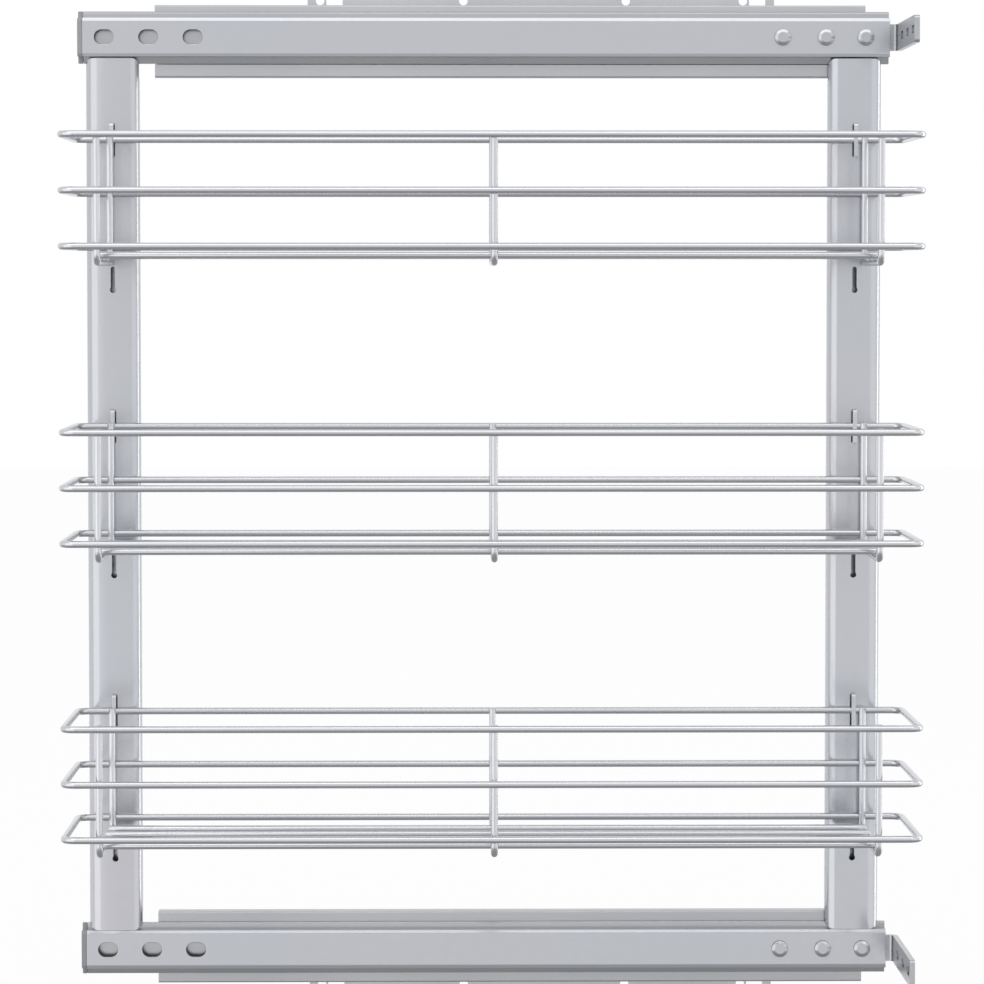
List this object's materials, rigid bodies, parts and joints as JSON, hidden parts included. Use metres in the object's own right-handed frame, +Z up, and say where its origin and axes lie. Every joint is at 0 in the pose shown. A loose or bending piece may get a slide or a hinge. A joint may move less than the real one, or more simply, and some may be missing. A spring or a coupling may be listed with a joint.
{
  "type": "pull-out wire basket unit",
  "caption": "Tall pull-out frame on ball-bearing runners for a narrow base cabinet, carrying wire baskets that hang from slotted uprights, with brackets for the door.",
  "frame": {"origin": "middle of the four main mounting holes, in the plane of the cabinet side panel's inner face", "axes": "+X out of the cabinet along the travel; +Y into the side panel that carries the unit, so the baskets are at negative Y; +Z up"},
  "size_m": [0.49, 0.1295, 0.5994],
  "materials": {
    "wire_chrome": "bright satin chrome plate on drawn wire",
    "hook_steel": "bright plated sheet steel",
    "frame_chrome": "smooth silver-grey plate with soft reflections",
    "sheet_steel": "bright zinc-plated sheet",
    "runner_steel": "bright zinc-plated rolled steel",
    "cages": "thin bright steel strip",
    "balls": "polished steel",
    "rivets": "plain steel",
    "bolts": "bright plated steel",
    "grey_plastic": "smooth moulded",
    "black_rubber": "matt moulded"
  },
  "bodies": {
    "cabinet_side": {"top_mounting_plate": "sheet_steel", "top_plate_rivets": "rivets", "top_outer_member": "runner_steel", "top_rear_stop": "black_rubber", "bottom_mounting_plate": "sheet_steel", "bottom_plate_rivets": "rivets", "bottom_outer_member": "runner_steel", "bottom_rear_stop": "black_rubber"},
    "top_middle_runner": {"top_middle_member": "runner_steel"},
    "top_outer_ball_cage": {"top_outer_cage": "cages", "top_outer_balls": "balls"},
    "top_inner_ball_cage": {"top_inner_cage": "cages", "top_inner_balls": "balls"},
    "bottom_middle_runner": {"bottom_middle_member": "runner_steel"},
    "bottom_outer_ball_cage": {"bottom_outer_cage": "cages", "bottom_outer_balls": "balls"},
    "bottom_inner_ball_cage": {"bottom_inner_cage": "cages", "bottom_inner_balls": "balls"},
    "sliding_frame": {"top_inner_member": "runner_steel", "top_runner_rivets": "rivets", "top_rail": "frame_chrome", "top_rail_back_plate": "frame_chrome", "top_end_cap": "grey_plastic", "top_door_bracket": "sheet_steel", "top_bracket_bolts": "bolts", "bottom_inner_member": "runner_steel", "bottom_runner_rivets": "rivets", "bottom_rail": "frame_chrome", "bottom_rail_back_plate": "frame_chrome", "bottom_end_cap": "grey_plastic", "bottom_door_bracket": "sheet_steel", "bottom_bracket_bolts": "bolts", "rear_upright": "frame_chrome", "front_upright": "frame_chrome"},
    "upper_basket": {"upper_basket_rim_wire": "wire_chrome", "upper_basket_middle_wire": "wire_chrome", "upper_basket_lower_wire": "wire_chrome", "upper_basket_rear_cross_wire": "wire_chrome", "upper_basket_centre_cross_wire": "wire_chrome", "upper_basket_front_cross_wire": "wire_chrome", "upper_basket_floor_wires": "wire_chrome", "upper_basket_hooks": "hook_steel"},
    "middle_basket": {"middle_basket_rim_wire": "wire_chrome", "middle_basket_middle_wire": "wire_chrome", "middle_basket_lower_wire": "wire_chrome", "middle_basket_rear_cross_wire": "wire_chrome", "middle_basket_centre_cross_wire": "wire_chrome", "middle_basket_front_cross_wire": "wire_chrome", "middle_basket_floor_wires": "wire_chrome", "middle_basket_hooks": "hook_steel"},
    "lower_basket": {"lower_basket_rim_wire": "wire_chrome", "lower_basket_middle_wire": "wire_chrome", "lower_basket_lower_wire": "wire_chrome", "lower_basket_rear_cross_wire": "wire_chrome", "lower_basket_centre_cross_wire": "wire_chrome", "lower_basket_front_cross_wire": "wire_chrome", "lower_basket_floor_wires": "wire_chrome", "lower_basket_hooks": "hook_steel"}
  },
  "joints": [
    {"name": "frame_slide", "type": "slide", "parent": "cabinet_side", "child": "sliding_frame", "axis": [1, 0, 0], "range_m": [0, 0.4]},
    {"name": "top_middle_runner_slide", "type": "slide", "parent": "cabinet_side", "child": "top_middle_runner", "axis": [1, 0, 0], "range_m": [0, 0.2]},
    {"name": "top_outer_ball_cage_slide", "type": "slide", "parent": "cabinet_side", "child": "top_outer_ball_cage", "axis": [1, 0, 0], "range_m": [0, 0.1]},
    {"name": "top_inner_ball_cage_slide", "type": "slide", "parent": "cabinet_side", "child": "top_inner_ball_cage", "axis": [1, 0, 0], "range_m": [0, 0.3]},
    {"name": "bottom_middle_runner_slide", "type": "slide", "parent": "cabinet_side", "child": "bottom_middle_runner", "axis": [1, 0, 0], "range_m": [0, 0.2]},
    {"name": "bottom_outer_ball_cage_slide", "type": "slide", "parent": "cabinet_side", "child": "bottom_outer_ball_cage", "axis": [1, 0, 0], "range_m": [0, 0.1]},
    {"name": "bottom_inner_ball_cage_slide", "type": "slide", "parent": "cabinet_side", "child": "bottom_inner_ball_cage", "axis": [1, 0, 0], "range_m": [0, 0.3]},
    {"name": "upper_basket_lift", "type": "slide", "parent": "sliding_frame", "child": "upper_basket", "axis": [0, 0, 1], "range_m": [0, 0.01]},
    {"name": "middle_basket_lift", "type": "slide", "parent": "sliding_frame", "child": "middle_basket", "axis": [0, 0, 1], "range_m": [0, 0.01]},
    {"name": "lower_basket_lift", "type": "slide", "parent": "sliding_frame", "child": "lower_basket", "axis": [0, 0, 1], "range_m": [0, 0.01]}
  ],
  "couplings": [
    {"joint": "top_middle_runner_slide", "follows": "frame_slide", "ratio": 0.5},
    {"joint": "top_outer_ball_cage_slide", "follows": "frame_slide", "ratio": 0.25},
    {"joint": "top_inner_ball_cage_slide", "follows": "frame_slide", "ratio": 0.75},
    {"joint": "bottom_middle_runner_slide", "follows": "frame_slide", "ratio": 0.5},
    {"joint": "bottom_outer_ball_cage_slide", "follows": "frame_slide", "ratio": 0.25},
    {"joint": "bottom_inner_ball_cage_slide", "follows": "frame_slide", "ratio": 0.75}
  ]
}
